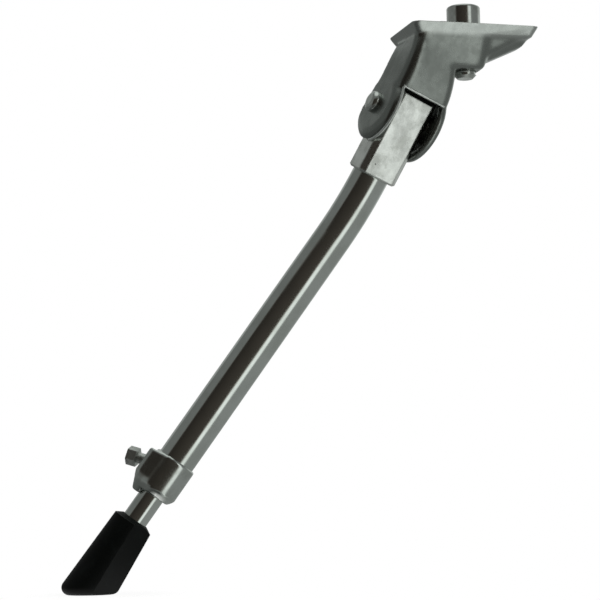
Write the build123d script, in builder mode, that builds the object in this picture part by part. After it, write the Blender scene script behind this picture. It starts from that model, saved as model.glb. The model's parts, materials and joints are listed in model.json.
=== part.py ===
from build123d import *
from math import cos, radians, sin, tan
import os

os.makedirs("parts", exist_ok=True)

# Fits, in millimetres
running_gap = 0.05
thread_gap = 0.1
moving_gap = 0.3

# Reach of cuts that go right through
cut_reach = 40.0

# Top plate: the bolt axis is the origin, its upper face is at height zero
plate_left = -31.0
plate_right = 32.3
plate_rear = -16.5
plate_front = 22.2
plate_thickness = 5.3
plate_draft = 2.9
sheet = 3.0

# Bolt, washer and boss
bolt_diameter = 10.0
bolt_length = 25.0
head_diameter = 16.0
head_height = 10.0
head_edge = 1.2
socket_across_flats = 8.0
socket_depth = 5.0
washer_diameter = 20.0
washer_thickness = 2.0
spot_face_depth = 0.3
boss_left = -18.0
boss_right = 7.8
boss_rear = -10.4
boss_front = 8.5
boss_corner = 5.0
boss_bottom = -20.0
boss_edge = 2.4
boss_flare = 2.3
boss_rake = 2.9
rib_right = 29.2
rib_rear = -8.0
rib_end = 1.5
rib_foot = -15.4
rib_foot_right = 10.2
rib_round = 4.5
joint_overlap = 1.0
plate_corner = 2.5

# Pivot: its place from the bolt axis and the plate, and how its axis and the leg stand
pivot_left_of_bolt = 29.7
pivot_ahead_of_bolt = 10.8
pivot_below_plate = 39.8
pivot_turn = 13.3
pivot_tilt = 21.0
leg_swing = -22.9
ear_radius = 18.6
ear_middle = 1.2
ear_back = -8.7
ear_flare = 4.5
ear_rim_round = 5.5
hood_width = 29.0
web_face = 15.4
web_edge = 12.2
hood_corner = 4.5
waist_rise = 12.0
waist_spread = 0.3
waist_slant = 2.3
hood_top_right = 7.0
hood_top_front = -17.0

# Rivet
rivet_diameter = 7.0
rivet_head_diameter = 10.4
rivet_head_height = 3.4
rivet_edge = 2.6

# Knuckle
knuckle_width = 20.7
knuckle_front = web_face - sheet - moving_gap
knuckle_back = -7.1
knuckle_foot = -31.8
front_chamfer = 2.6
foot_chamfer = 0.9
back_chamfer = 4.4
cam_flat = 15.0
cam_radius = 15.8
pivot_boss_diameter = 15.0

# Shoe and spring inside the hood
shoe_width = 16.0
shoe_depth = 13.0
shoe_height = 4.5
shoe_corner = 2.0
stem_diameter = 5.0
stem_length = 13.5
spring_shift = 2.0
spring_wire = 1.8
spring_radius = 4.0
spring_length = 7.5
spring_turns = 3.5

# Leg tube, rod, collar and foot
tube_diameter = 18.0
tube_bore = 13.0
spigot_diameter = 16.0
spigot_length = 20.0
bend_angle = 13.4
bend_radius = 150.0
bend_heading = 31.8
shin_length = 144.0
rod_diameter = 12.0
rod_length = 145.0
rod_seat = 24.0
rod_chamfer = 1.0
collar_diameter = 20.6
collar_length = 20.0
collar_floor = 5.0
collar_edge = 0.8
collar_taper = 2.2
collar_taper_length = 3.0
lug_width = 17.2
lug_reach = 12.0
lug_corner = 2.4
lug_drop = 1.5
lug_length = 12.5
lug_taper_length = 8.5
lug_foot_reach = 9.0
lug_foot_inset = 3.5
lug_foot_width = 12.0
rod_shown = 13.7
foot_top_diameter = 19.6
foot_sole_diameter = 24.5
foot_length = 42.5
foot_lean = 1.6
shoulder_width = 3.2
shoulder_height = 1.9
sole_round = 3.6

# Clamp screw
screw_diameter = 5.0
screw_across_flats = 8.0
screw_head_height = 4.8
screw_neck = 4.6
screw_from_collar_top = 4.0
screw_lean = 18.0
screw_turn = 16.0

# Directions of the pivot, the knuckle, the shin and the clamp screw
pivot = Vector(-pivot_left_of_bolt, pivot_ahead_of_bolt, -pivot_below_plate)
up = Vector(0, 0, 1)
turn = radians(pivot_turn)
tilt = radians(pivot_tilt)
pivot_left = Vector(-cos(tilt) * cos(turn), -cos(tilt) * sin(turn), sin(tilt))
plumb = (pivot_left * pivot_left.Z - up).normalized()
leg_down = plumb.rotate(Axis((0, 0, 0), pivot_left), leg_swing)
leg_rear = pivot_left.cross(leg_down)
leg_up = leg_down * -1
heading = radians(bend_heading)
bend_side = pivot_left * cos(heading) + leg_rear * sin(heading)
bend = radians(bend_angle)
shin_down = leg_down * cos(bend) + bend_side * sin(bend)
shin_above = (up - shin_down * up.dot(shin_down)).normalized()
lug_turn = radians(screw_turn)
lug_out = shin_above * cos(lug_turn) + shin_down.cross(shin_above) * sin(lug_turn)
lean = radians(screw_lean)
screw_out = lug_out * cos(lean) + shin_down * sin(lean)

# Places along the leg
knuckle_middle = (knuckle_front + knuckle_back) / 2
tube_top = pivot + leg_rear * knuckle_middle + leg_up * knuckle_foot
bend_reach = bend_radius * tan(bend / 2)
shin_top = tube_top + leg_down * bend_reach + shin_down * bend_reach
collar_foot = shin_length + collar_floor
collar_head = collar_foot - collar_length
foot_top = collar_foot + rod_shown
screw_place = collar_head + screw_from_collar_top
sole_height = (shin_top + shin_down * (foot_top + foot_length)).Z
rivet_axis = Axis(pivot, pivot_left)
leg_axis = Axis(pivot, leg_up)
shin_axis = Axis(shin_top, shin_down)

# Planes: x is left along the pivot or rearwards, y rearwards or up the leg
side_plane = Plane(origin=pivot, x_dir=leg_rear, z_dir=pivot_left)
leg_plane = Plane(origin=tube_top, x_dir=leg_down, z_dir=leg_down.cross(bend_side))
web_plane = Plane(origin=pivot + leg_up * web_edge, x_dir=pivot_left, z_dir=leg_up)
waist_plane = web_plane.offset(waist_rise)
knuckle_plane = Plane(origin=pivot + leg_up * knuckle_foot, x_dir=pivot_left, z_dir=leg_up)
shoe_base = cam_radius + moving_gap
shoe_middle = pivot_left * spring_shift
shoe_plane = Plane(origin=pivot + shoe_middle + leg_up * shoe_base, x_dir=pivot_left, z_dir=leg_up)
shelf_base = shoe_height + spring_length
shelf_plane = shoe_plane.offset(shelf_base)
shin_plane = Plane(origin=shin_top, x_dir=shin_above, z_dir=shin_down)
collar_plane = Plane(origin=shin_top + shin_down * collar_head, x_dir=lug_out, z_dir=shin_down)
screw_plane = Plane(
    origin=shin_top + shin_down * screw_place,
    x_dir=shin_down.cross(lug_out),
    z_dir=screw_out,
)
plate_under = Plane(origin=(0, 0, -plate_thickness), x_dir=(-1, 0, 0), z_dir=(0, 0, 1))

# Sides of the hood at its waist, and its left end and rear face under the plate
waist_left = hood_width / 2 + waist_spread
waist_right = waist_slant - hood_width / 2
hood_top_left = -plate_left - plate_draft
hood_top_rear = -plate_rear - plate_draft
hood_inside = hood_width / 2 - sheet
bend_inside = hood_corner - sheet

# Outside of the hood: drawn from the plate down to the square channel at the ears
with BuildPart() as hood_outside:
    with BuildSketch(plate_under.offset(joint_overlap)) as under_plate:
        with BuildLine():
            Polyline(
                (hood_top_left, hood_top_front),
                (hood_top_left, hood_top_rear),
                (hood_top_right, hood_top_rear),
                (hood_top_right, hood_top_front),
                close=True,
            )
        make_face()
        fillet(under_plate.vertices().sort_by(Axis.Y)[-2:], hood_corner)
    with BuildSketch(waist_plane) as at_waist:
        with BuildLine():
            Polyline(
                (waist_left, ear_back),
                (waist_left, web_face),
                (waist_right, web_face),
                (waist_right, ear_back),
                close=True,
            )
        make_face()
        fillet(at_waist.vertices().sort_by(Axis.Y)[-2:], hood_corner)
    with BuildSketch(web_plane) as at_web:
        with BuildLine():
            Polyline(
                (hood_width / 2, ear_back),
                (hood_width / 2, web_face),
                (-hood_width / 2, web_face),
                (-hood_width / 2, ear_back),
                close=True,
            )
        make_face()
        fillet(at_web.vertices().sort_by(Axis.Y)[-2:], hood_corner)
    loft()

# Inside of the hood: one sheet in from the outside, open to the front
with BuildPart() as hood_room:
    with BuildSketch(plate_under) as room_top:
        with BuildLine():
            Polyline(
                (hood_top_left - sheet, -cut_reach),
                (hood_top_left - sheet, hood_top_rear - sheet),
                (hood_top_right + sheet, hood_top_rear - sheet),
                (hood_top_right + sheet, -cut_reach),
                close=True,
            )
        make_face()
        fillet(room_top.vertices().sort_by(Axis.Y)[-2:], bend_inside)
    with BuildSketch(waist_plane) as room_waist:
        with BuildLine():
            Polyline(
                (waist_left - sheet, -cut_reach),
                (waist_left - sheet, web_face - sheet),
                (waist_right + sheet, web_face - sheet),
                (waist_right + sheet, -cut_reach),
                close=True,
            )
        make_face()
        fillet(room_waist.vertices().sort_by(Axis.Y)[-2:], bend_inside)
    with BuildSketch(web_plane) as room_foot:
        with BuildLine():
            Polyline(
                (hood_inside, -cut_reach),
                (hood_inside, web_face - sheet),
                (-hood_inside, web_face - sheet),
                (-hood_inside, -cut_reach),
                close=True,
            )
        make_face()
        fillet(room_foot.vertices().sort_by(Axis.Y)[-2:], bend_inside)
    loft()

# Shelf across the hood that the spring stands against
with BuildPart() as spring_shelf:
    with BuildSketch(shelf_plane):
        Rectangle(hood_width, 2 * -ear_back)
    extrude(amount=sheet)
    add(hood_outside.part, mode=Mode.INTERSECT)

# Block that takes the bolt, level with the hood's rear face and wider at the plate
block_top = -plate_thickness + joint_overlap
block_sections = (
    (boss_bottom, boss_right, boss_rear),
    (block_top, boss_right + boss_flare, boss_rear - boss_rake),
)
with BuildPart() as boss:
    for section_height, section_right, section_rear in block_sections:
        with BuildSketch(Plane.XY.offset(section_height)):
            with Locations(((boss_left + section_right) / 2, (boss_front + section_rear) / 2)):
                RectangleRounded(section_right - boss_left, boss_front - section_rear, boss_corner)
    loft()
    fillet(boss.faces().sort_by(Axis.Z)[0].edges(), boss_edge)

# Rib from the block to the plate's right end, its slanting edges rounded
with BuildPart() as rib:
    with BuildSketch(Plane.XZ.offset(-boss_front)):
        with BuildLine():
            Polyline(
                (0, block_top),
                (rib_right, block_top),
                (rib_right, -plate_thickness - rib_end),
                (rib_foot_right, rib_foot),
                (0, rib_foot),
                close=True,
            )
        make_face()
    extrude(amount=boss_front - rib_rear)
    slant = rib.faces().sort_by(Axis((0, 0, 0), (2, 0, -5)))[-1]
    slant_edges = slant.edges().sort_by(Axis.Y)
    fillet([slant_edges[0], slant_edges[-1]], rib_round)

# Ears at the foot of the hood, their outer rims rounded like its bends
with BuildPart() as ears:
    with BuildSketch(side_plane.offset(-hood_width / 2)):
        with Locations((ear_middle, 0)):
            Circle(ear_radius)
        with BuildLine():
            Polyline(
                (ear_back, web_edge),
                (ear_back - ear_flare, -ear_radius),
                (cut_reach, -ear_radius),
                (cut_reach, web_edge),
                close=True,
            )
        make_face(mode=Mode.INTERSECT)
    extrude(amount=hood_width)
    ear_sides = ears.faces().sort_by(rivet_axis)
    ear_edges = ear_sides[0].edges() + ear_sides[-1].edges()
    fillet(ear_edges.filter_by(GeomType.CIRCLE), ear_rim_round)

# Top plate with sloping edges, joined with the block, the rib, the hood and its ears
plate_width = plate_right - plate_left
plate_depth = plate_front - plate_rear
plate_middle = ((plate_left + plate_right) / 2, (plate_rear + plate_front) / 2)
with BuildPart() as mount_bracket:
    with BuildSketch(Plane.XY):
        with Locations(plate_middle):
            RectangleRounded(plate_width, plate_depth, plate_corner)
    with BuildSketch(Plane.XY.offset(-plate_thickness)):
        with Locations(plate_middle):
            RectangleRounded(plate_width - 2 * plate_draft, plate_depth - 2 * plate_draft, plate_corner)
    loft()
    add(boss.part)
    add(rib.part)
    add(hood_outside.part)
    add(ears.part)
    add(hood_room.part, mode=Mode.SUBTRACT)
    with BuildSketch(side_plane.offset(-hood_inside)):
        with Locations((0, web_edge)):
            Rectangle(cut_reach * 2, cut_reach * 2, align=(Align.CENTER, Align.MAX))
    extrude(amount=2 * hood_inside, mode=Mode.SUBTRACT)
    add(spring_shelf.part)
    with BuildSketch(shelf_plane):
        Circle(stem_diameter / 2 + running_gap)
    extrude(amount=sheet, both=True, mode=Mode.SUBTRACT)
    with BuildSketch(side_plane):
        Circle(rivet_diameter / 2 + running_gap)
    extrude(amount=hood_width, both=True, mode=Mode.SUBTRACT)
    with BuildSketch(Plane.XY):
        Circle(bolt_diameter / 2 + thread_gap)
    extrude(amount=cut_reach, both=True, mode=Mode.SUBTRACT)
    with BuildSketch(Plane.XY):
        Circle(washer_diameter / 2 + moving_gap)
    extrude(amount=-spot_face_depth, mode=Mode.SUBTRACT)
mount_bracket.part.label = "mount_bracket"
export_step(mount_bracket.part, "parts/mount_bracket.step")

# Washer and cap screw
washer_top = washer_thickness - spot_face_depth
with BuildPart() as mounting_washer:
    with BuildSketch(Plane.XY.offset(-spot_face_depth)):
        Circle(washer_diameter / 2)
        Circle(bolt_diameter / 2 + moving_gap, mode=Mode.SUBTRACT)
    extrude(amount=washer_thickness)
mounting_washer.part.label = "mounting_washer"
export_step(mounting_washer.part, "parts/mounting_washer.step")

with BuildPart() as mounting_bolt:
    with BuildSketch(Plane.XY.offset(washer_top)):
        Circle(head_diameter / 2)
    extrude(amount=head_height)
    fillet(mounting_bolt.faces().sort_by(Axis.Z)[-1].edges(), head_edge)
    with BuildSketch(Plane.XY.offset(washer_top)):
        Circle(bolt_diameter / 2)
    extrude(amount=-bolt_length)
    chamfer(mounting_bolt.faces().sort_by(Axis.Z)[0].edges(), head_edge)
    with BuildSketch(Plane.XY.offset(washer_top + head_height)):
        RegularPolygon(socket_across_flats / 2, 6, major_radius=False)
    extrude(amount=-socket_depth, mode=Mode.SUBTRACT)
mounting_bolt.part.label = "mounting_bolt"
export_step(mounting_bolt.part, "parts/mounting_bolt.step")

# Rivet with a rounded head at each end
rivet_reach = hood_width / 2
with BuildPart() as pivot_rivet:
    with BuildSketch(side_plane):
        Circle(rivet_head_diameter / 2)
    extrude(amount=rivet_reach + rivet_head_height, both=True)
    rivet_ends = pivot_rivet.faces().sort_by(rivet_axis)
    fillet(rivet_ends[0].edges() + rivet_ends[-1].edges(), rivet_edge)
    with BuildSketch(side_plane):
        Circle(rivet_head_diameter)
        Circle(rivet_diameter / 2, mode=Mode.SUBTRACT)
    extrude(amount=rivet_reach, both=True, mode=Mode.SUBTRACT)
pivot_rivet.part.label = "pivot_rivet"
export_step(pivot_rivet.part, "parts/pivot_rivet.step")

# Cast knuckle: chamfered block, its head rounded about the pivot with one flat on top
knuckle_depth = knuckle_front - knuckle_back
with BuildPart() as knuckle:
    with BuildSketch(knuckle_plane) as block:
        with Locations((0, knuckle_middle)):
            Rectangle(knuckle_width, knuckle_depth)
        chamfer(block.vertices().sort_by(Axis.Y)[-2:], front_chamfer)
        chamfer(block.vertices().sort_by(Axis.Y)[:2], back_chamfer)
    extrude(amount=cam_radius - knuckle_foot)
    with BuildSketch(side_plane.offset(-knuckle_width)):
        Circle(cam_radius)
        with Locations((knuckle_back, knuckle_foot)):
            Rectangle(knuckle_depth, -knuckle_foot, align=(Align.MIN, Align.MIN))
        with Locations((0, cam_flat)):
            Rectangle(cut_reach * 2, cut_reach * 2, align=(Align.CENTER, Align.MAX), mode=Mode.INTERSECT)
    extrude(amount=2 * knuckle_width, mode=Mode.INTERSECT)
    chamfer(knuckle.faces().sort_by(leg_axis)[0].edges(), foot_chamfer)
    with BuildSketch(side_plane):
        Circle(pivot_boss_diameter / 2)
    extrude(amount=hood_inside - moving_gap, both=True)
    with BuildSketch(side_plane):
        Circle(rivet_diameter / 2 + running_gap)
    extrude(amount=hood_width, both=True, mode=Mode.SUBTRACT)
    with BuildSketch(knuckle_plane):
        with Locations((0, knuckle_middle)):
            Circle(spigot_diameter / 2)
    extrude(amount=spigot_length, mode=Mode.SUBTRACT)
knuckle.part.label = "knuckle"
export_step(knuckle.part, "parts/knuckle.step")

# Shoe with its guide stem, and the spring between shoe and shelf
with BuildPart() as pressure_shoe:
    with BuildSketch(shoe_plane) as sole_of_shoe:
        Rectangle(shoe_width, shoe_depth)
        fillet(sole_of_shoe.vertices(), shoe_corner)
    extrude(amount=shoe_height)
    with BuildSketch(shoe_plane):
        Circle(stem_diameter / 2)
    extrude(amount=shoe_height + stem_length)
pressure_shoe.part.label = "pressure_shoe"
export_step(pressure_shoe.part, "parts/pressure_shoe.step")

spring_rise = spring_length - spring_wire - 2 * running_gap
spring_base = shoe_plane.offset(shoe_height + spring_wire / 2 + running_gap)
with BuildPart() as detent_spring:
    with BuildLine():
        coil = Helix(
            spring_rise / spring_turns,
            spring_rise,
            spring_radius,
            center=spring_base.origin,
            direction=leg_up,
        )
    with BuildSketch(Plane(origin=coil @ 0, z_dir=coil % 0)):
        Circle(spring_wire / 2)
    sweep()
detent_spring.part.label = "detent_spring"
export_step(detent_spring.part, "parts/detent_spring.step")

# Leg tube: swaged spigot, gentle bend and straight shin
with BuildPart() as leg_tube:
    with BuildLine(leg_plane) as leg_path:
        bow = JernArc(start=(0, 0), tangent=(1, 0), radius=bend_radius, arc_size=bend_angle)
        PolarLine(bow @ 1, shin_length, bend_angle)
    with BuildSketch(Plane(origin=tube_top, x_dir=pivot_left, z_dir=leg_down)):
        Circle(tube_diameter / 2)
        Circle(tube_bore / 2, mode=Mode.SUBTRACT)
    sweep()
    with BuildSketch(Plane(origin=tube_top, x_dir=pivot_left, z_dir=leg_up)):
        Circle(spigot_diameter / 2)
        Circle(tube_bore / 2, mode=Mode.SUBTRACT)
    extrude(amount=spigot_length - moving_gap)
    with BuildSketch(screw_plane):
        Circle(screw_diameter / 2 + moving_gap)
    extrude(amount=tube_diameter, mode=Mode.SUBTRACT)
leg_tube.part.label = "leg_tube"
export_step(leg_tube.part, "parts/leg_tube.step")

# Lug on the collar's side for the clamp screw, running out towards the foot
lug_top_plane = collar_plane.offset(lug_drop)
lug_waist_plane = lug_top_plane.offset(lug_length)
lug_foot_plane = lug_waist_plane.offset(lug_taper_length)
with BuildPart() as collar_lug:
    with BuildSketch(lug_top_plane):
        with Locations((lug_reach / 2, 0)):
            RectangleRounded(lug_reach, lug_width, lug_corner)
    extrude(amount=lug_length)
    chamfer(collar_lug.faces().sort_by(shin_axis)[0].edges(), collar_edge)
    with BuildSketch(lug_waist_plane):
        with Locations((lug_reach / 2, 0)):
            RectangleRounded(lug_reach, lug_width, lug_corner)
    with BuildSketch(lug_foot_plane):
        with Locations(((lug_foot_reach + lug_foot_inset) / 2, 0)):
            RectangleRounded(lug_foot_reach - lug_foot_inset, lug_foot_width, lug_corner)
    loft()

# Collar on the tube's end, its floor guiding the rod
with BuildPart() as clamp_collar:
    with BuildSketch(collar_plane):
        Circle(collar_diameter / 2)
    extrude(amount=collar_length)
    collar_ends = clamp_collar.faces().sort_by(shin_axis)
    chamfer(collar_ends[0].edges(), collar_edge)
    chamfer(collar_ends[-1].edges(), collar_taper, collar_taper_length, reference=collar_ends[-1])
    add(collar_lug.part)
    with BuildSketch(collar_plane):
        Circle(tube_diameter / 2 + running_gap / 2)
    extrude(amount=collar_length - collar_floor, mode=Mode.SUBTRACT)
    with BuildSketch(collar_plane):
        Circle(rod_diameter / 2 + thread_gap)
    extrude(amount=cut_reach, mode=Mode.SUBTRACT)
    with BuildSketch(screw_plane):
        Circle(screw_diameter / 2 + thread_gap)
    extrude(amount=2 * lug_reach, mode=Mode.SUBTRACT)
clamp_collar.part.label = "clamp_collar"
export_step(clamp_collar.part, "parts/clamp_collar.step")

# Hex-head clamp screw
tip_rise = screw_diameter / 2 * sin(lean)
screw_tip = (rod_diameter / 2 + moving_gap + tip_rise) / cos(lean)
screw_head_base = (lug_reach + screw_neck) / cos(lean)
with BuildPart() as clamp_screw:
    with BuildSketch(screw_plane.offset(screw_tip)):
        Circle(screw_diameter / 2)
    extrude(amount=screw_head_base - screw_tip)
    with BuildSketch(screw_plane.offset(screw_head_base)):
        RegularPolygon(screw_across_flats / 2, 6, major_radius=False, rotation=30)
    extrude(amount=screw_head_height)
clamp_screw.part.label = "clamp_screw"
export_step(clamp_screw.part, "parts/clamp_screw.step")

# Rod and rubber foot
rod_foot = foot_top + rod_seat
with BuildPart() as extension_rod:
    with BuildSketch(shin_plane.offset(rod_foot)):
        Circle(rod_diameter / 2)
    extrude(amount=-rod_length)
    chamfer(extension_rod.faces().sort_by(shin_axis)[0].edges(), rod_chamfer)
extension_rod.part.label = "extension_rod"
export_step(extension_rod.part, "parts/extension_rod.step")

foot_growth = (foot_sole_diameter - foot_top_diameter) / 2 / foot_length
foot_reach = foot_length + foot_sole_diameter
with BuildPart() as rubber_foot:
    with BuildSketch(shin_plane.offset(foot_top)):
        Circle(foot_top_diameter / 2)
    with BuildSketch(shin_plane.offset(foot_top + foot_reach)):
        with Locations((-foot_lean * foot_reach / foot_length, 0)):
            Circle(foot_top_diameter / 2 + foot_growth * foot_reach)
    loft()
    foot_mouth = rubber_foot.faces().sort_by(shin_axis)[0]
    chamfer(foot_mouth.edges(), shoulder_width, shoulder_height, reference=foot_mouth)
    split(bisect_by=Plane.XY.offset(sole_height), keep=Keep.TOP)
    fillet(rubber_foot.faces().sort_by(Axis.Z)[0].edges(), sole_round)
    with BuildSketch(shin_plane.offset(foot_top)):
        Circle(rod_diameter / 2 + running_gap / 2)
    extrude(amount=rod_seat, mode=Mode.SUBTRACT)
rubber_foot.part.label = "rubber_foot"
export_step(rubber_foot.part, "parts/rubber_foot.step")
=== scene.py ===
# %% [markdown]
# A bicycle kickstand, dressed for its portrait
#
# The imported solids already have the right shapes and places: a pressed bracket, a cast
# knuckle, a chromed tube with a sliding rod, and a rubber foot. This lesson gives them
# their finishes, softens the edges of the bracket and the collar, and adds the lip of the
# bracket's notch, a flat on the foot and two screw threads. Then it builds a small studio.
# The solids are loaded first, and their box is kept.

# %% Load the imported part
import json
from math import cos, radians, sin

import bpy
from mathutils import Matrix, Vector


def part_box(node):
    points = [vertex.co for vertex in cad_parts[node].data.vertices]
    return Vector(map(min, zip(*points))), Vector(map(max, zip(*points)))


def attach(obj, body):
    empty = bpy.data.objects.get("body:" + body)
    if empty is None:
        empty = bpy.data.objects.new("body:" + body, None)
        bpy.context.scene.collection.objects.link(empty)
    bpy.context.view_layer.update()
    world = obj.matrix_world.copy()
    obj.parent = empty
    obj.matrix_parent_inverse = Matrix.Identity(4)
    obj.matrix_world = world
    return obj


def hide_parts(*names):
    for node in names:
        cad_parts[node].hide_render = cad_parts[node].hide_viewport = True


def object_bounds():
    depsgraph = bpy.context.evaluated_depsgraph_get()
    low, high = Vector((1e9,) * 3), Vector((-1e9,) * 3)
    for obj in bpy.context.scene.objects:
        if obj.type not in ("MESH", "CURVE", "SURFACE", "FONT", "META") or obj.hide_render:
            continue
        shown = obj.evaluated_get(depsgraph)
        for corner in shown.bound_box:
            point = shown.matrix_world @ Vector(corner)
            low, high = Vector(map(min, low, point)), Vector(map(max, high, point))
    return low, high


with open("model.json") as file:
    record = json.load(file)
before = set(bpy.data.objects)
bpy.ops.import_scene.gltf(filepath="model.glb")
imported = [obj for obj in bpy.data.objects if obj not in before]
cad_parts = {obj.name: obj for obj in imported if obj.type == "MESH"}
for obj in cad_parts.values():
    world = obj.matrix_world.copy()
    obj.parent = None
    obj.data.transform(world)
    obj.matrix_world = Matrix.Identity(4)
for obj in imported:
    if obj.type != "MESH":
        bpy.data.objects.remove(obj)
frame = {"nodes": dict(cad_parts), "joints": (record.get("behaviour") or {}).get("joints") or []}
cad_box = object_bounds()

MM = 0.001
nodes = frame["nodes"]
print("nodes:", ", ".join(sorted(nodes)))

# %% [markdown]
# Camera
#
# The picture was taken from the rear of the bicycle, a little from the left and from just
# above the ground, so the plate is seen slightly from below. A long lens keeps the upright
# lines nearly parallel. A camera could be turned by three angles or made to follow a
# target. Here its own axes are set as a matrix, because that holds the small roll of the
# picture as well as the direction.

# %% Camera
view_turn = radians(-15.61)
view_rise = radians(-5.95)
view_roll = radians(-1.05)
view_distance = 883.4 * MM
target_left = 80.69 * MM
target_down = 127.86 * MM
lens_mm = 112.4
sensor_mm = 36

view_right = Vector((cos(view_turn), sin(view_turn), 0))
view_back = Vector((
    sin(view_turn) * cos(view_rise),
    -cos(view_turn) * cos(view_rise),
    sin(view_rise),
))
view_up = view_back.cross(view_right)
view_target = Vector((0, 0, -target_down)) - view_right * target_left
camera_x = view_right * cos(view_roll) + view_up * sin(view_roll)
camera_y = view_up * cos(view_roll) - view_right * sin(view_roll)

bpy.ops.object.select_all(action="DESELECT")
bpy.ops.object.camera_add()
camera = bpy.context.object
camera.data.sensor_width = sensor_mm
camera.data.lens = lens_mm
camera.matrix_world = Matrix.LocRotScale(
    view_target + view_back * view_distance,
    Matrix((camera_x, camera_y, view_back)).transposed().to_quaternion(),
    None,
)
bpy.context.scene.camera = camera
print("camera at", [round(x, 3) for x in camera.location])

# %% [markdown]
# Helpers for materials
#
# Colours are easiest to note as the hex values that a screen shows, but shaders work in
# linear light, so one function turns the one into the other. A second adds a shader node,
# sets its values and joins its inputs, so that a material reads from top to bottom like a
# recipe. Patterns are noted in millimetres, and a third turns a size into a scale. The
# inputs of a Mix node share their names, so they are called by number, and the numbers get
# names here.

# %% Colour, nodes and scale
FACTOR = 0
NUMBER_A, NUMBER_B, NUMBER_OUT = 2, 3, 0
COLOUR_A, COLOUR_B, COLOUR_OUT = 6, 7, 2


def linear(hex_colour):
    """A screen colour such as 8a8c88 as linear red, green, blue and alpha."""
    parts = [int(hex_colour[i:i + 2], 16) / 255 for i in (0, 2, 4)]
    return [c / 12.92 if c <= 0.04045 else ((c + 0.055) / 1.055) ** 2.4 for c in parts] + [1.0]


def add(tree, kind, values=None, links=None, **settings):
    """Adds a node of this kind, with its settings, input values and input links."""
    made = tree.nodes.new(kind)
    for name, value in settings.items():
        setattr(made, name, value)
    for name, value in (values or {}).items():
        made.inputs[name].default_value = value
    for name, socket in (links or {}).items():
        tree.links.new(socket, made.inputs[name])
    return made


def new_material(name):
    """An empty material and its node tree, ready for a recipe."""
    material = bpy.data.materials.new(name)
    material.use_nodes = True
    material.node_tree.nodes.clear()
    return material, material.node_tree


def per_metre(size_mm):
    """The texture scale at which one feature measures so many millimetres."""
    return 1 / (size_mm * MM)


print("middle grey is", round(linear("808080")[0], 3), "in linear light")

# %% [markdown]
# Plated steel
#
# Every metal piece here has a thin plate, but each was made in its own way and shows it.
# The tube was drawn and polished, so it mirrors the room in long bands. The bracket was
# pressed from sheet and is only satin. The knuckle was cast, and the plate follows its
# bumps and pits. Each could have a material of its own, but one recipe with different amounts
# covers them all. Its ingredients come first, one small function each.
#
# Tarnish is a cloudy change of colour, and the dull clouds are a little rougher too.

# %% Tarnish
cloud_start = 0.34
cloud_full = 0.62


def tarnish(tree, place, bright, dull, roughness, cloud_mm):
    """A cloudy colour and the roughness that goes with it, from smooth to rough."""
    smooth, rough = roughness
    cloud = add(tree, "ShaderNodeTexNoise",
                {"Scale": per_metre(cloud_mm), "Detail": 5.0, "Roughness": 0.6},
                {"Vector": place}).outputs["Fac"]
    tone = add(tree, "ShaderNodeMapRange", {"From Min": cloud_start, "From Max": cloud_full},
               {"Value": cloud}, interpolation_type="SMOOTHSTEP").outputs["Result"]
    colour = add(tree, "ShaderNodeMix", {COLOUR_A: linear(dull), COLOUR_B: linear(bright)},
                 {FACTOR: tone}, data_type="RGBA").outputs[COLOUR_OUT]
    matt = add(tree, "ShaderNodeMapRange", {"To Min": rough, "To Max": smooth},
               {"Value": tone}).outputs["Result"]
    return colour, matt


print("tarnish fades over", round(cloud_full - cloud_start, 2), "of the noise")

# %% [markdown]
# Painted highlights on edges and on top
#
# Edges get a paler colour: a painted highlight, as where an edge catches the light. On a
# crisp solid they are found by a Bevel node, which also rounds them for the light: where
# the rounded normal turns away from the face, there is an edge. A copy with melted edges has
# real roundings, and there Blender's pointiness finds them. The bracket's top is painted
# paler as well, above a given height: a painted highlight on the top.

# %% Painted highlights on edges and on top
turn_start = 0.96
turn_full = 0.80
point_start = 0.53
point_full = 0.60
painted_light_fade_mm = 3
painted_light_share = 0.44


def painted_highlight_edges(tree, edge_mm):
    """The normal, rounded at the edges if a radius is given, and how much painted highlight the edges get.
    """
    geometry = add(tree, "ShaderNodeNewGeometry").outputs
    if edge_mm:
        normal = add(tree, "ShaderNodeBevel", {"Radius": edge_mm * MM}, samples=6).outputs["Normal"]
        edge = add(tree, "ShaderNodeVectorMath", None, {0: normal, 1: geometry["True Normal"]},
                   operation="DOT_PRODUCT").outputs["Value"]
        span = {"From Min": turn_start, "From Max": turn_full}
    else:
        normal = geometry["Normal"]
        edge = geometry["Pointiness"]
        span = {"From Min": point_start, "From Max": point_full}
    painted_highlight = add(tree, "ShaderNodeMapRange", span, {"Value": edge}).outputs["Result"]
    return normal, painted_highlight


def painted_light_top(tree, place, above_mm):
    """How much painted highlight the piece gets on top: a set share above this height, fading out below it.
    """
    height = add(tree, "ShaderNodeSeparateXYZ", links={0: place}).outputs["Z"]
    return add(tree, "ShaderNodeMapRange",
               {"From Min": (above_mm - painted_light_fade_mm) * MM, "From Max": above_mm * MM,
                "To Max": painted_light_share},
               {"Value": height}, interpolation_type="SMOOTHSTEP").outputs["Result"]


# The painted highlight on top fades out over this height.
print("polish fades out over", painted_light_fade_mm, "mm")

# %% [markdown]
# Bumps and pits
#
# Slow waves bend the reflections, and fine grain breaks them up. The real grain is finer
# than a pixel, so it is drawn at half a millimetre or more to show at all. Pits are small
# holes in the plate: space is divided into cells, a few cells are drawn by lot, and each of
# those has a dark dimple at its middle.

# %% Bumps and pits
pit_middle = 0.06
pit_rim = 0.17
pit_depth_mm = 0.15
pit_colour = "3a3833"


def bumpy(tree, place, size_mm, depth_mm, detail, roughness=0.5, normal=None):
    """A normal with bumps of this size and depth, laid over another normal if one is given."""
    height = add(tree, "ShaderNodeTexNoise",
                 {"Scale": per_metre(size_mm), "Detail": detail, "Roughness": roughness},
                 {"Vector": place}).outputs["Fac"]
    links = {"Height": height}
    if normal is not None:
        links["Normal"] = normal
    return add(tree, "ShaderNodeBump", {"Strength": 1.0, "Distance": depth_mm * MM}, links).outputs["Normal"]


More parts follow.
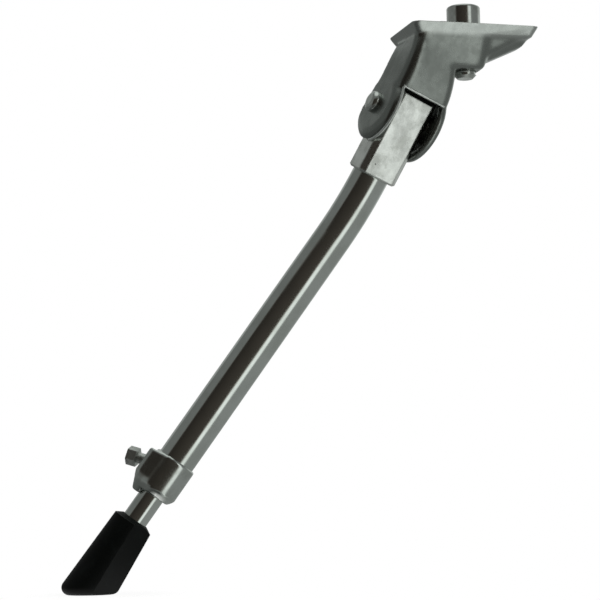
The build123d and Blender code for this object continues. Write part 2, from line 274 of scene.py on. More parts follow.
def pits(tree, place, spacing_mm, share):
    """One at the middle of a pit and zero outside it. This share of the cells has one."""
    cell = add(tree, "ShaderNodeTexVoronoi", {"Scale": per_metre(spacing_mm)}, {"Vector": place}).outputs
    lot = add(tree, "ShaderNodeSeparateColor", links={"Color": cell["Color"]}).outputs["Red"]
    chosen = add(tree, "ShaderNodeMath", {1: share}, {0: lot}, operation="LESS_THAN").outputs[0]
    near = add(tree, "ShaderNodeMapRange",
               {"From Min": pit_middle, "From Max": pit_rim, "To Min": 1.0, "To Max": 0.0},
               {"Value": cell["Distance"]}, interpolation_type="SMOOTHSTEP").outputs["Result"]
    return add(tree, "ShaderNodeMath", None, {0: chosen, 1: near}, operation="MULTIPLY").outputs[0]


print("a pit is", pit_depth_mm, "mm deep")


# %% The recipe for plated steel
def plated_steel(name, bright, dull, edge_highlight, roughness, cloud_mm, grain_mm, grain_depth_mm,
                 wave_mm, wave_depth_mm, edge_mm=None, painted_light_above_mm=None, pit_mm=None, pit_share=0.0):
    """Metal with a thin bright plate, with the marks of how it was made, tarnish, and a painted highlight on
    its edges and top.
    """
    material, tree = new_material(name)
    place = add(tree, "ShaderNodeTexCoord").outputs["Object"]
    colour, matt = tarnish(tree, place, bright, dull, roughness, cloud_mm)
    surface, painted_highlight = painted_highlight_edges(tree, edge_mm)
    if painted_light_above_mm is not None:
        painted_light = painted_light_top(tree, place, painted_light_above_mm)
        painted_highlight = add(tree, "ShaderNodeMath", None, {0: painted_highlight, 1: painted_light}, operation="MAXIMUM").outputs[0]
    # A paler colour on the edges and the top: a painted highlight.
    colour = add(tree, "ShaderNodeMix", {COLOUR_B: linear(edge_highlight)},
                 {FACTOR: painted_highlight, COLOUR_A: colour}, data_type="RGBA").outputs[COLOUR_OUT]
    surface = bumpy(tree, place, wave_mm, wave_depth_mm, detail=1.0, normal=surface)
    surface = bumpy(tree, place, grain_mm, grain_depth_mm, detail=4.0, roughness=0.65, normal=surface)
    if pit_mm is not None:
        pit = pits(tree, place, pit_mm, pit_share)
        colour = add(tree, "ShaderNodeMix", {COLOUR_B: linear(pit_colour)},
                     {FACTOR: pit, COLOUR_A: colour}, data_type="RGBA").outputs[COLOUR_OUT]
        surface = add(tree, "ShaderNodeBump", {"Strength": 1.0, "Distance": pit_depth_mm * MM},
                      {"Height": pit, "Normal": surface}, invert=True).outputs["Normal"]
    shader = add(tree, "ShaderNodeBsdfPrincipled", {"Metallic": 1.0},
                 {"Base Color": colour, "Roughness": matt, "Normal": surface})
    add(tree, "ShaderNodeOutputMaterial", links={"Surface": shader.outputs["BSDF"]})
    print("material", name)
    return material


# %% [markdown]
# The seven metal finishes
#
# All of them have a faint green-grey cast, as chrome and zinc have beside white. They differ
# in how sharply they mirror the room and in how much of its light they give back. Roughness
# is noted as two values, for the clean metal and for the tarnished.

# %% Finishes of the large pieces
# In each finish, the edge colour is a painted highlight on the edges.
# Bright chrome on a drawn and polished tube is nearly a mirror: long clear bands.
bright_chrome = plated_steel(
    "bright_chrome_on_drawn_tube", bright="cfd3cf", dull="c5c9c4", edge_highlight="dde1dd",
    roughness=(0.10, 0.16), cloud_mm=14, grain_mm=0.8, grain_depth_mm=0.004,
    wave_mm=22, wave_depth_mm=0.12, edge_mm=0.5, pit_mm=6, pit_share=0.02)
# The same chrome on a small die casting: the bands waver and their ends are soft.
cast_collar = plated_steel(
    "bright_chrome_on_die_casting", bright="c6cac6", dull="b6bab5", edge_highlight="dfe3df",
    roughness=(0.15, 0.22), cloud_mm=6, grain_mm=0.8, grain_depth_mm=0.006,
    wave_mm=9, wave_depth_mm=0.10)
# Satin chrome on pressed sheet: grey and even, with no clear reflection, and a painted highlight that makes
# its top brighter.
satin_chrome = plated_steel(
    "satin_chrome_on_pressed_steel", bright="8c908c", dull="868a86", edge_highlight="eef2ee",
    roughness=(0.26, 0.32), cloud_mm=5, grain_mm=0.6, grain_depth_mm=0.016,
    wave_mm=16, wave_depth_mm=0.18, painted_light_above_mm=-3.6)
# Chrome on a rough casting: the palest piece, softly clouded, with a few dark pits.
cast_chrome = plated_steel(
    "chrome_on_pitted_casting", bright="e1e3df", dull="c5c7c2", edge_highlight="f4f6f3",
    roughness=(0.22, 0.30), cloud_mm=8, grain_mm=0.7, grain_depth_mm=0.014,
    wave_mm=11, wave_depth_mm=0.3, edge_mm=1.0, pit_mm=2.0, pit_share=0.09)

# %% Finishes of the small pieces
# A pressed edge with a pale colour, a painted highlight: a pale line that is bright from every side.
painted_highlight_edge = plated_steel(
    "painted_highlight_edge_of_pressed_steel", bright="eef1ee", dull="dde1dd", edge_highlight="eef2ee",
    roughness=(0.40, 0.48), cloud_mm=4, grain_mm=0.6, grain_depth_mm=0.01,
    wave_mm=8, wave_depth_mm=0.05, edge_mm=0.2)
# Bright plate on turned steel, for the cap screw, its washer and the rivet: small sharp glints.
plated_bolt = plated_steel(
    "bright_plated_cap_screw", bright="c9cdc9", dull="b8bbb6", edge_highlight="d8dcd8",
    roughness=(0.14, 0.22), cloud_mm=6, grain_mm=0.6, grain_depth_mm=0.004,
    wave_mm=12, wave_depth_mm=0.03, edge_mm=0.4)
# Zinc plate that has gone dull: a grey that is almost matt, with no glint.
dull_zinc = plated_steel(
    "dull_zinc_plated_steel", bright="c6c9c5", dull="b2b6b1", edge_highlight="dfe2de",
    roughness=(0.38, 0.48), cloud_mm=3, grain_mm=0.5, grain_depth_mm=0.015,
    wave_mm=6, wave_depth_mm=0.05, edge_mm=0.3)

# %% [markdown]
# Moulded rubber
#
# The foot is black rubber pulled over the rod's end. Rubber is matt but not dead: it has a
# weak broad sheen, a fine mould grain, and greyish scuffs. It could be one black with a
# little roughness, but then the foot would look like a hole in the picture, so the scuffs
# and the grain are made by noise of their own sizes.

# %% Finish of the foot
scuff_start = 0.52
scuff_full = 0.78
rubber_ior = 1.52
rubber_sheen = 0.12


def moulded_rubber(name, black, scuffed, roughness, scuff_mm, grain_mm, grain_depth_mm):
    """Matt moulded rubber with scuffs."""
    smooth, rough = roughness
    material, tree = new_material(name)
    place = add(tree, "ShaderNodeTexCoord").outputs["Object"]
    cloud = add(tree, "ShaderNodeTexNoise", {"Scale": per_metre(scuff_mm), "Detail": 5.0},
                {"Vector": place}).outputs["Fac"]
    scuff = add(tree, "ShaderNodeMapRange", {"From Min": scuff_start, "From Max": scuff_full},
                {"Value": cloud}).outputs["Result"]
    colour = add(tree, "ShaderNodeMix", {COLOUR_A: linear(black), COLOUR_B: linear(scuffed)},
                 {FACTOR: scuff}, data_type="RGBA").outputs[COLOUR_OUT]
    matt = add(tree, "ShaderNodeMapRange", {"To Min": smooth, "To Max": rough},
               {"Value": cloud}).outputs["Result"]
    surface = bumpy(tree, place, grain_mm, grain_depth_mm, detail=3.0)
    shader = add(tree, "ShaderNodeBsdfPrincipled", {"IOR": rubber_ior, "Specular IOR Level": rubber_sheen},
                 {"Base Color": colour, "Roughness": matt, "Normal": surface})
    add(tree, "ShaderNodeOutputMaterial", links={"Surface": shader.outputs["BSDF"]})
    print("material", name)
    return material


# Black rubber from a mould: very dark, with a faint grey sheen where it faces the light.
black_rubber = moulded_rubber(
    "black_moulded_rubber", black="070908", scuffed="111413", roughness=(0.50, 0.62),
    scuff_mm=6, grain_mm=0.6, grain_depth_mm=0.02)

# %% [markdown]
# Dressing the solids
#
# The finish goes into the one material slot that each solid has, and its mesh is left alone.
# The bracket, the collar and the foot are shown by reworked copies further on, and the
# copies take the same finishes.

# %% Give each solid its finish
finish_of = {
    "mount_bracket": satin_chrome,
    "pivot_rivet": plated_bolt,
    "mounting_bolt": plated_bolt,
    "mounting_washer": plated_bolt,
    "knuckle": cast_chrome,
    "pressure_shoe": dull_zinc,
    "detent_spring": dull_zinc,
    "leg_tube": bright_chrome,
    "clamp_collar": cast_collar,
    "extension_rod": bright_chrome,
    "clamp_screw": dull_zinc,
    "rubber_foot": black_rubber,
}
for node_name, finish in finish_of.items():
    nodes[node_name].data.materials[0] = finish
print("dressed", len(finish_of), "solids")

# %% [markdown]
# Directions of the leg
#
# The bracket's ears and the collar's lug stand at odd angles, so their directions are worked
# out once. They could be typed in as numbers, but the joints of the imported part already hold
# them: the leg folds about the pivot, the shoe slides up the leg, the rod slides down the
# shin, and the clamp screw turns on its own axis.

# %% Directions of the pivot, the shin and the lug
joint_of = {joint["name"]: joint for joint in frame["joints"]}


def place_of(joint_name):
    """The place of a joint."""
    return Vector(joint_of[joint_name]["pos_m"])


def axis_of(joint_name):
    """The direction that a joint turns about or slides along."""
    return Vector(joint_of[joint_name]["axis"]).normalized()


pivot = place_of("leg_fold")
pivot_left = axis_of("leg_fold")
leg_down = -axis_of("shoe_lift")
leg_rear = pivot_left.cross(leg_down)
screw_place = place_of("screw_turn")
screw_axis = axis_of("screw_turn")
shin_down = axis_of("rod_slide")
lug_out = (screw_axis - shin_down * screw_axis.dot(shin_down)).normalized()
lug_aside = shin_down.cross(lug_out)
print("leg points", [round(x, 2) for x in leg_down], "rear is", [round(x, 2) for x in leg_rear])

# %% [markdown]
# Melted edges
#
# A pressing or a casting has no sharp inner corners: the metal flows round them in the die.
# The solids are drawn with crisp joins, so the bracket and the collar are shown by a copy
# whose joins are melted. A Bevel modifier could round them, but it needs clean edges, and
# the joins here run across many small triangles. So the copy is rebuilt from small cubes,
# which fuses what overlaps, and then its points are drawn towards their neighbours: a few
# steps all over for the edges, and many steps in the corners where two forms meet. A weight
# says how much each point takes part in those. The mesh is thinned at the end.

# %% Helpers for meshes
merge_distance = 0.001 * MM


def copy_of(node_name, name):
    """A copy of a solid with a mesh of its own, selected and active."""
    piece = bpy.data.objects.new(name, nodes[node_name].data.copy())
    bpy.context.collection.objects.link(piece)
    bpy.ops.object.select_all(action="DESELECT")
    piece.select_set(True)
    bpy.context.view_layer.objects.active = piece
    return piece


def merge_points():
    """Joins the loose triangles of the active piece into one skin."""
    bpy.ops.object.mode_set(mode="EDIT")
    bpy.ops.mesh.select_all(action="SELECT")
    bpy.ops.mesh.remove_doubles(threshold=merge_distance)
    bpy.ops.object.mode_set(mode="OBJECT")


def apply_modifier(piece, kind, **settings):
    """Gives the active piece a modifier with these settings and makes its result final."""
    modifier = piece.modifiers.new(kind, kind)
    for name, value in settings.items():
        setattr(modifier, name, value)
    bpy.ops.object.modifier_apply(modifier=modifier.name)


print("points nearer than", merge_distance / MM, "mm are merged")


# %% A copy with melted edges
def melted_copy(node_name, name, extra, cube_mm, edge_steps, blend_steps, in_blend, keep_share):
    """Shows a solid by a copy fused with extra forms, whose edges and corners are rounded."""
    piece = copy_of(node_name, name)
    for other in extra:
        other.select_set(True)
    bpy.ops.object.join()
    merge_points()
    apply_modifier(piece, "REMESH", mode="VOXEL", voxel_size=cube_mm * MM)
    apply_modifier(piece, "SMOOTH", iterations=edge_steps)
    blend = piece.vertex_groups.new(name="blend")
    for v in piece.data.vertices:
        blend.add([v.index], in_blend(v.co), "REPLACE")
    apply_modifier(piece, "SMOOTH", vertex_group=blend.name, iterations=blend_steps)
    apply_modifier(piece, "DECIMATE", ratio=keep_share)
    bpy.ops.object.shade_smooth()
    piece.data.materials.clear()
    piece.data.materials.append(finish_of[node_name])
    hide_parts(node_name)
    print(name, len(piece.data.polygons), "faces")
    return piece


# %% [markdown]
# Bracket
#
# The press rolls the web's edge over the far ear, so that ear has a broad rim facing the
# rear. The solid's rim is rounder. A torus would make a round rim too, but this one has a
# flat top and one sharp side, so it is spun round the ear from a small section of that form.
# Beside the bolt's block the metal is drawn smooth, and two slabs fill the corners there:
# one makes the block flush with the web, the other makes the hollow before the rib shallow.
# All three are fused with the copy before it is melted.

# %% Rim of the far ear
def face_with(corners):
    """A new piece of one face with these corners, selected and active."""
    bpy.ops.object.select_all(action="DESELECT")
    bpy.ops.mesh.primitive_circle_add(vertices=len(corners), fill_type="NGON")
    piece = bpy.context.object
    for point, corner in zip(piece.data.vertices, corners):
        point.co = corner
    return piece


def face_outwards():
    """Turns the faces of the active piece outwards."""
    bpy.ops.object.mode_set(mode="EDIT")
    bpy.ops.mesh.select_all(action="SELECT")
    bpy.ops.mesh.normals_make_consistent(inside=False)
    bpy.ops.object.mode_set(mode="OBJECT")


ear_shift = 1.2 * MM
ear_middle = pivot + leg_rear * ear_shift
rim_start = radians(48)
rim_turn = radians(184)
rim_steps = 40
# Across the ear and out from its middle, in millimetres.
rim_section = (
    (10.75, 18.8), (12.6, 18.8), (13.9, 18.0), (14.5, 16.5), (14.6, 14.0), (13.0, 14.0), (10.75, 15.4))
out_of_ear = leg_rear * cos(rim_start) - leg_down * sin(rim_start)
ear_rim = face_with([
    ear_middle - pivot_left * across * MM + out_of_ear * radius * MM for across, radius in rim_section])
bpy.ops.object.mode_set(mode="EDIT")
bpy.ops.mesh.select_all(action="SELECT")
bpy.ops.mesh.spin(steps=rim_steps, angle=rim_turn, center=ear_middle, axis=pivot_left)
bpy.ops.object.mode_set(mode="OBJECT")
face_outwards()
print("rim reaches", round(min(v.co.z for v in ear_rim.data.vertices) / MM, 1), "mm")


# %% Fillings beside the bolt's block
def filling(corners_mm, thickness_mm):
    """A slab whose rear face has these corners, and which reaches forward into the bracket."""
    slab = face_with([Vector(corner) * MM for corner in corners_mm])
    bpy.ops.object.mode_set(mode="EDIT")
    bpy.ops.mesh.select_all(action="SELECT")
    bpy.ops.mesh.extrude_region_move(TRANSFORM_OT_translate={"value": (0, thickness_mm * MM, 0)})
    bpy.ops.object.mode_set(mode="OBJECT")
    face_outwards()
    print("filling with", len(slab.data.polygons), "faces")
    return slab


web_filling = filling(
    ((-14, -13.45, -5.5), (-2, -13.05, -5.5), (-2, -10.7, -19.2), (-14, -11.6, -19.2)),
    thickness_mm=2.0)
rib_filling = filling(
    ((5, -11.9, -5), (25, -11.0, -5), (20, -10.4, -7.6), (11, -10.2, -12.2), (5, -10.0, -16)),
    thickness_mm=3.4)

# %% The melted bracket
block_low_mm = -21.5
block_high_mm = -4.4
block_left_mm = -24
bore_clear_mm = 6.2
near_ear_mm = 9
ear_edge_mm = 13
ear_edge_weight = 0.25


def bracket_blend(point):
    """How much to melt: all round the block and the rib, a quarter on the near ear's edge."""
    x, y, z = point / MM
    in_height = block_low_mm < z < block_high_mm
    if in_height and x > block_left_mm and Vector((x, y)).length > bore_clear_mm:
        return 1.0
    from_ear = point - ear_middle
    across = from_ear.dot(pivot_left) / MM
    radius = (from_ear - pivot_left * across * MM).length / MM
    if across > near_ear_mm and radius > ear_edge_mm:
        return ear_edge_weight
    return 0.0


bracket_skin = melted_copy(
    "mount_bracket", "bracket_skin", [ear_rim, web_filling, rib_filling],
    cube_mm=0.5, edge_steps=5, blend_steps=110, in_blend=bracket_blend, keep_share=0.4)
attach(bracket_skin, "bracket")

# %% [markdown]
# Lip of the notch
#
# The press turns a thin lip outwards round the notch in the web, and the lip has a pale
# finish, a painted highlight that is bright from every side. It is a round wire along the
# near ear's edge and then along the web's edge. The edge of the skin could be bevelled
# instead, but the skin has no single edge there. Wire is easiest as a curve with a round
# bevel, which is then made a mesh.

# %% Path of the lip
web_edge = 12.9 * MM
web_face = 15.5 * MM
notch_side = 11.6 * MM
far_share = 0.98
ear_reach = 18.2 * MM
lip_start = -70
lip_turn = 110
lip_steps = 12
lip_points = []
for step in range(lip_steps + 1):
    swing = radians(lip_start + lip_turn * step / lip_steps)
    out_of_ear = leg_rear * cos(swing) - leg_down * sin(swing)
    lip_points.append(ear_middle + pivot_left * notch_side + out_of_ear * ear_reach)
web_corner = pivot - leg_down * web_edge + leg_rear * web_face
lip_points.append(web_corner + pivot_left * notch_side)
lip_points.append(web_corner - pivot_left * notch_side * far_share)
print("lip along", len(lip_points), "points")

# %% Lip along the near ear and the web
lip_radius = 0.7 * MM
lip_smooth = radians(40)
wire = bpy.data.curves.new("notch_lip", "CURVE")
wire.dimensions = "3D"
wire.bevel_depth = lip_radius
wire.bevel_resolution = 3
wire.use_fill_caps = True
line = wire.splines.new("POLY")
line.points.add(len(lip_points) - 1)
for point, place in zip(line.points, lip_points):
    point.co = (*place, 1.0)
notch_lip = bpy.data.objects.new("notch_lip", wire)
bpy.context.collection.objects.link(notch_lip)
bpy.ops.object.select_all(action="DESELECT")
notch_lip.select_set(True)
bpy.context.view_layer.objects.active = notch_lip
bpy.ops.object.convert(target="MESH")
bpy.ops.object.shade_smooth_by_angle(angle=lip_smooth)
notch_lip.data.materials.clear()
# The lip's pale material is a painted highlight.
notch_lip.data.materials.append(painted_highlight_edge)
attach(notch_lip, "bracket")
print("lip of", len(notch_lip.data.polygons), "faces")

# %% [markdown]
# Collar
#
# The collar is a small die casting. Its lug grows out of the barrel in one smooth surface.
# Melting alone leaves a valley between the two, so a wedge fills the corner on each side of
# the lug before the copy is melted. A wedge follows the lug's taper through four sections,
# and each run between two of them is a small block. The collar's lower rim is melted too.

# %% Wedges beside the lug
# Out along the lug, aside from its middle and down along the shin, in millimetres.
wedge_head = ((0.3, 10.2, -3.5), (10.4, 8.75, -2.5), (10.4, 7.8, -2.5), (5.5, 7.9, -3.0), (2.5, 9.6, -3.4))
wedge_waist = ((0.3, 10.2, 10.0), (10.4, 8.75, 10.0), (10.4, 7.8, 10.0), (5.5, 7.9, 10.0), (2.5, 9.6, 10.0))
wedge_knee = ((0.3, 10.2, 13.0), (10.0, 7.8, 13.0), (10.0, 6.9, 13.0), (5.5, 7.2, 13.0), (2.5, 9.3, 13.0))
wedge_foot = ((0.3, 8.1, 16.0), (8.8, 6.8, 16.0), (8.8, 5.9, 16.0), (5.0, 6.0, 16.0), (2.0, 7.3, 16.0))
wedge_runs = ((wedge_head, wedge_waist), (wedge_waist, wedge_knee), (wedge_knee, wedge_foot))


def beside_lug(section, side):
    """The corners of a wedge's section, on one side of the lug or the other."""
    return [
        screw_place + (lug_out * outward + lug_aside * aside * side + shin_down * along) * MM
        for outward, aside, along in section]


wedges = []
for side in (1, -1):
    for first, last in wedge_runs:
        wedge = face_with(beside_lug(first, side))
        bpy.ops.object.mode_set(mode="EDIT")
        bpy.ops.mesh.select_all(action="SELECT")
        bpy.ops.mesh.extrude_region_move()
        bpy.ops.object.mode_set(mode="OBJECT")
        for point, corner in zip(wedge.data.vertices[len(first):], beside_lug(last, side)):
            point.co = corner
        face_outwards()
        wedges.append(wedge)
print(len(wedges), "wedges beside the lug")

# %% The melted collar
lug_root_mm = 1
lug_end_mm = 11
lug_half_mm = 5.5
lower_rim_mm = 12.5


def collar_blend(point):
    """One where the lug meets the barrel and round the collar's lower rim, else zero."""
    across = point - screw_place
    outward = across.dot(lug_out) / MM
    aside = across.dot(lug_aside) / MM
    along = across.dot(shin_down) / MM
    beside = lug_root_mm < outward < lug_end_mm and abs(aside) > lug_half_mm
    return float(beside or along > lower_rim_mm)


collar_skin = melted_copy(
    "clamp_collar", "collar_skin", wedges,
    cube_mm=0.35, edge_steps=8, blend_steps=50, in_blend=collar_blend, keep_share=0.5)
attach(collar_skin, "leg")

# %% [markdown]
# Flat of the foot
#
# The mould gives the foot one long flat, to the right of the middle as the camera sees it,
# and it meets the round side in a soft edge. A Boolean with a block could cut it, but one
# plane is enough, so bisect cuts it from a copy of the foot and closes the cut. The plane
# lies a little inside the round surface. Two rays find that surface: one near the foot's
# top and one near its sole.

# %% Plane of the flat
flat_depth = 2.2 * MM
flat_stations = (5 * MM, 26 * MM)
ray_length = 100 * MM
to_rear = (view_back - shin_down * view_back.dot(shin_down)).normalized()
to_right = to_rear.cross(shin_down)
flat_side = (to_rear + to_right).normalized()
foot_skin = copy_of("rubber_foot", "foot_skin")
merge_points()
bpy.context.view_layer.update()
foot_start = min((v.co - screw_place).dot(shin_down) for v in foot_skin.data.vertices)
marks = []
for station in flat_stations:
    on_axis = screw_place + shin_down * (foot_start + station)
    hit = foot_skin.ray_cast(on_axis + flat_side * ray_length, -flat_side)[1]
    marks.append(hit - flat_side * flat_depth)
along_flat = (marks[1] - marks[0]).normalized()
flat_normal = (flat_side - along_flat * flat_side.dot(along_flat)).normalized()
print("flat faces", [round(x, 2) for x in flat_normal])

# %% One flat on the foot
foot_smooth = radians(12)
bpy.ops.object.mode_set(mode="EDIT")
bpy.ops.mesh.select_all(action="SELECT")
bpy.ops.mesh.bisect(plane_co=marks[0], plane_no=flat_normal, use_fill=True, clear_outer=True)
bpy.ops.object.mode_set(mode="OBJECT")
bpy.ops.object.shade_smooth_by_angle(angle=foot_smooth)
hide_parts("rubber_foot")
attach(foot_skin, "extension")
print("foot with a flat", len(foot_skin.data.polygons), "faces")

# %% [markdown]
# Screw threads
#
# Two screws show a little thread: the cap screw's end below the block, and the clamp screw
# between its lug and its head. Rings or a bump pattern would look like a thread from afar,
# but a real one is a single ridge that climbs as it goes round. So it is made much as it is
# cut: the screw modifier carries a small triangle round the axis, and along it by one pitch
# for each turn. The solids already have the plain shanks.

# %% A thread
ridge_share = 0.3
steps_a_turn = 28
thread_smooth = radians(30)


def thread(name, shank_mm, pitch_mm, turns, foot, axis):
    """A ridge of triangular section that winds round the axis, starting at its foot."""
    bpy.ops.object.select_all(action="DESELECT")
    bpy.ops.mesh.primitive_circle_add(
        vertices=3, radius=ridge_share * pitch_mm * MM, rotation=(0, radians(90), 0))
    ridge = bpy.context.object
    ridge.name = name
    bpy.ops.object.transform_apply(location=True, rotation=True, scale=True)
    bpy.ops.object.mode_set(mode="EDIT")
    bpy.ops.mesh.select_all(action="SELECT")
    bpy.ops.transform.translate(value=(0, shank_mm / 2 * MM, 0))
    bpy.ops.object.mode_set(mode="OBJECT")
    apply_modifier(ridge, "SCREW", screw_offset=pitch_mm * MM, iterations=turns,
                   steps=steps_a_turn, render_steps=steps_a_turn)
    bpy.ops.object.mode_set(mode="EDIT")
    bpy.ops.mesh.select_all(action="SELECT")
    bpy.ops.mesh.fill_holes(sides=3)
    bpy.ops.mesh.normals_make_consistent(inside=False)
    bpy.ops.object.mode_set(mode="OBJECT")
    ridge.location = foot
    ridge.rotation_euler = axis.to_track_quat("Z", "Y").to_euler()
    bpy.ops.object.transform_apply(location=True, rotation=True, scale=True)
    bpy.ops.object.shade_smooth_by_angle(angle=thread_smooth)
    print(name, len(ridge.data.polygons), "faces")
    return ridge


# %% Threads of the cap screw and the clamp screw
upwards = Vector((0, 0, 1))
bolt_thread_rise = 1.25 * MM
bolt_foot = Vector((0, 0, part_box("mounting_bolt")[0].z + bolt_thread_rise))
bolt_thread = thread("bolt_thread", shank_mm=10, pitch_mm=1.5, turns=1, foot=bolt_foot, axis=upwards)
bolt_thread.data.materials.append(plated_bolt)
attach(bolt_thread, "bracket")

screw_thread_start = 13.6 * MM
screw_foot = screw_place + screw_axis * screw_thread_start
screw_thread = thread("screw_thread", shank_mm=5, pitch_mm=0.8, turns=4, foot=screw_foot, axis=screw_axis)
screw_thread.data.materials.append(dull_zinc)
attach(screw_thread, "screw")

# %% [markdown]
# Floor
#
# A small pale sheet under the foot takes the shadow. A wide floor would be the usual choice,
# but the chrome would mirror it as a white field, so this one is only about twice as
# wide as the foot. It fades out towards its rim and has no visible edge against the white
# background. What the camera and the metal see of it is mostly its own white, and the rest
# is lit like paper, which is what keeps the shadow.

# %% What is seen as white
white = linear("ffffff")


def seen_directly(tree):
    """One for what the camera sees, straight or in metal or glass, and zero for other light."""
    path = add(tree, "ShaderNodeLightPath").outputs
    seen = add(tree, "ShaderNodeMath", None, {0: path["Is Camera Ray"], 1: path["Is Glossy Ray"]},
               operation="MAXIMUM").outputs[0]
    return add(tree, "ShaderNodeMath", None, {0: seen, 1: path["Is Transmission Ray"]},
               operation="MAXIMUM").outputs[0]


print("background white is", white[:3])

# %% Pale floor
floor_radius = 42 * MM
floor_gap = 0.05 * MM
fade_start = 0.3
fade_end = 0.97
own_white_share = 0.94
foot_low, foot_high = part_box("rubber_foot")
floor_middle = (foot_low + foot_high) / 2
bpy.ops.object.select_all(action="DESELECT")
bpy.ops.mesh.primitive_circle_add(
    vertices=64, radius=floor_radius, fill_type="NGON",
    location=(floor_middle.x, floor_middle.y, foot_low.z - floor_gap))
floor = bpy.context.object
floor.name = "floor_sheet"
print("floor at", round(foot_low.z / MM, 1), "mm")

# %% Paper of the floor
# Matt white paper: an even white that shows nothing but the shadow.
material, tree = new_material("white_paper_sheet")
place = add(tree, "ShaderNodeTexCoord").outputs["Object"]
from_middle = add(tree, "ShaderNodeVectorMath", links={0: place}, operation="LENGTH").outputs["Value"]
inside = add(tree, "ShaderNodeMapRange",
             {"From Min": floor_radius * fade_start, "From Max": floor_radius * fade_end,
              "To Min": 1.0, "To Max": 0.0},
             {"Value": from_middle}, interpolation_type="SMOOTHSTEP").outputs["Result"]
own_white = add(tree, "ShaderNodeMath", {1: own_white_share}, {0: seen_directly(tree)},
                operation="MULTIPLY").outputs[0]
paper = add(tree, "ShaderNodeBsdfDiffuse", {"Color": linear("f4f4f2")}).outputs[0]
glow = add(tree, "ShaderNodeEmission", {"Color": white, "Strength": 1.0}).outputs[0]
sheet = add(tree, "ShaderNodeMixShader", links={0: own_white, 1: paper, 2: glow}).outputs[0]
clear = add(tree, "ShaderNodeBsdfTransparent").outputs[0]
faded = add(tree, "ShaderNodeMixShader", links={0: inside, 1: clear, 2: sheet}).outputs[0]
add(tree, "ShaderNodeOutputMaterial", links={"Surface": faded})
floor.data.materials.append(material)
print("material", material.name)

# %% [markdown]
# Light tent
#
# Chrome has no colour of its own to show: it shows the room. Lamps alone would leave it
# black with a few white spots. The bands on the tube tell what the room was: a dark space
# round the camera and to its left, one tall bright strip to the right of the camera, and
# dim walls all round. A tent of cloth with that dark gap and that strip gives the same bands
# on every piece at once. Paler and darker panels hang before its walls, for the pieces that
# face up, down or away. A small round opening behind the object lets the white background
# into the edges of the metal. The camera does not see the tent.

# %% Tent with an opening
tent_radius = 3.0
opening = radians(9)
tent_middle = (cad_box[0] + cad_box[1]) / 2
bpy.ops.object.select_all(action="DESELECT")
bpy.ops.mesh.primitive_uv_sphere_add(segments=48, ring_count=24, radius=tent_radius, location=tent_middle)
tent = bpy.context.object
tent.name = "light_tent"
bpy.ops.object.mode_set(mode="EDIT")
bpy.ops.mesh.select_mode(type="FACE")
bpy.ops.mesh.select_all(action="DESELECT")
bpy.ops.object.mode_set(mode="OBJECT")
for face in tent.data.polygons:
    face.select = face.center.normalized().dot(-view_back) > cos(opening)
bpy.ops.object.mode_set(mode="EDIT")
bpy.ops.mesh.delete(type="FACE")
bpy.ops.object.mode_set(mode="OBJECT")
tent.visible_camera = False
print("tent of", len(tent.data.polygons), "faces")

# %% Angles round the tent and up it
# The angle round the tent is zero towards the rear of the bicycle and grows to the right.
material, tree = new_material("tent_cloth")
place = add(tree, "ShaderNodeTexCoord").outputs["Object"]
direction = add(tree, "ShaderNodeVectorMath", links={0: place}, operation="NORMALIZE").outputs[0]
part = add(tree, "ShaderNodeSeparateXYZ", links={0: direction}).outputs
rearward = add(tree, "ShaderNodeMath", {1: -1.0}, {0: part["Y"]}, operation="MULTIPLY").outputs[0]
around = add(tree, "ShaderNodeMath", None, {0: part["X"], 1: rearward}, operation="ARCTAN2").outputs[0]
height = add(tree, "ShaderNodeMath", None, {0: part["Z"]}, operation="ARCSINE").outputs[0]


def band(angle, low, high, blur):
    """One inside low to high degrees of this angle, zero outside, with soft ends."""
    rise = add(tree, "ShaderNodeMapRange",
               {"From Min": radians(low - blur), "From Max": radians(low + blur)},
               {"Value": angle}, interpolation_type="SMOOTHSTEP").outputs["Result"]
    fall = add(tree, "ShaderNodeMapRange",
               {"From Min": radians(high - blur), "From Max": radians(high + blur),
                "To Min": 1.0, "To Max": 0.0},
               {"Value": angle}, interpolation_type="SMOOTHSTEP").outputs["Result"]
    return add(tree, "ShaderNodeMath", None, {0: rise, 1: fall}, operation="MULTIPLY").outputs[0]


def part_of_tent(across, upright):
    """One inside a part of the tent: low, high and blur round the tent, and the same up it."""
    return add(tree, "ShaderNodeMath", None, {0: band(around, *across), 1: band(height, *upright)},
               operation="MULTIPLY").outputs[0]


print("material", material.name, "is measured in degrees")

# %% Walls and panels of the tent
# Low, high and blur round the tent and up it, in degrees, and the brightness.
all_round = (-200, 200, 10)
panels = {
    "low on the left": ((-185, -40, 10), (-75, 6, 8), 0.155),
    "under the camera": ((-20, 75, 10), (-85, -46, 6), 0.42),
    "lower on the left": ((-185, -8, 8), (-64, -32, 8), 0.075),
    "behind on the left": ((-184, -150, 6), (14, 50, 6), 0.40),
    "behind on the right": ((100, 176, 12), (-8, 52, 10), 0.65),
    "overhead": (all_round, (62, 120, 8), 0.8),
}
wall_top, wall_foot = radians(35), radians(-20)
wall_dim, wall_pale = 0.20, 0.31
level = add(tree, "ShaderNodeMapRange",
            {"From Min": wall_top, "From Max": wall_foot, "To Min": wall_dim, "To Max": wall_pale},
            {"Value": height}, interpolation_type="SMOOTHSTEP").outputs["Result"]
for across, upright, brightness in panels.values():
    level = add(tree, "ShaderNodeMix", {NUMBER_B: brightness},
                {FACTOR: part_of_tent(across, upright), NUMBER_A: level}).outputs[NUMBER_OUT]
print("panels", ", ".join(panels))

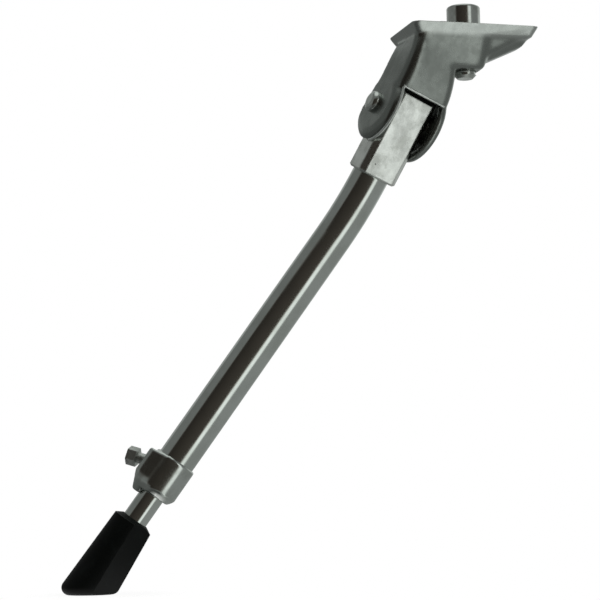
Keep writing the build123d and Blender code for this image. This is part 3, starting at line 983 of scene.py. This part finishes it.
# %% Dark gap and bright strip
gap_left, gap_right = -60, 12
gap_dark, gap_dim = 0.030, 0.066
strip_bright = 1.15
gap = part_of_tent((-72, gap_right, 5), (-24, 38, 4))
strip = part_of_tent((14, 34, 5), (-66, 20, 8))
depth = add(tree, "ShaderNodeMapRange",
            {"From Min": radians(gap_left), "From Max": radians(gap_right),
             "To Min": gap_dark, "To Max": gap_dim},
            {"Value": around}).outputs["Result"]
level = add(tree, "ShaderNodeMix", None,
            {FACTOR: gap, NUMBER_A: level, NUMBER_B: depth}).outputs[NUMBER_OUT]
level = add(tree, "ShaderNodeMix", {NUMBER_B: strip_bright},
            {FACTOR: strip, NUMBER_A: level}).outputs[NUMBER_OUT]
# White cloth, cool where it is lit and warm in the gap.
tint = add(tree, "ShaderNodeMix", {COLOUR_A: linear("fafffc"), COLOUR_B: linear("fff0df")},
           {FACTOR: gap}, data_type="RGBA").outputs[COLOUR_OUT]
cloth = add(tree, "ShaderNodeEmission", None, {"Color": tint, "Strength": level}).outputs[0]
add(tree, "ShaderNodeOutputMaterial", links={"Surface": cloth})
tent.data.materials.append(material)
print("strip of brightness", strip_bright)

# %% [markdown]
# Lamp and background
#
# One broad lamp, above the camera and to its right, models the rubber and the floor. A spot
# would give hard shadows, so it is an area lamp. It is kept out of the metal, which takes
# its light from the tent. The background is plain white to the camera and dimmer as a light.

# %% Lamp
lamp_from = Vector((0.55, -0.75, 0.85)).normalized()
lamp_distance = 1.5
lamp_size = 1.0
lamp_watts = 12.0
bpy.ops.object.select_all(action="DESELECT")
bpy.ops.object.light_add(type="AREA", location=tent_middle + lamp_from * lamp_distance)
lamp = bpy.context.object
lamp.rotation_euler = lamp_from.to_track_quat("Z", "Y").to_euler()
lamp.data.size = lamp_size
lamp.data.energy = lamp_watts
lamp.visible_glossy = False
print("lamp of", lamp_watts, "W")

# %% White background
world_light = 0.6
world = bpy.data.worlds.new("white_studio")
bpy.context.scene.world = world
world.use_nodes = True
tree = world.node_tree
tree.nodes.clear()
dim = add(tree, "ShaderNodeBackground", {"Color": white, "Strength": world_light}).outputs[0]
bright = add(tree, "ShaderNodeBackground", {"Color": white, "Strength": 1.0}).outputs[0]
sky = add(tree, "ShaderNodeMixShader", links={0: seen_directly(tree), 1: dim, 2: bright}).outputs[0]
add(tree, "ShaderNodeOutputWorld", links={"Surface": sky})
bpy.context.scene.view_settings.view_transform = "Standard"
print("world", world.name)
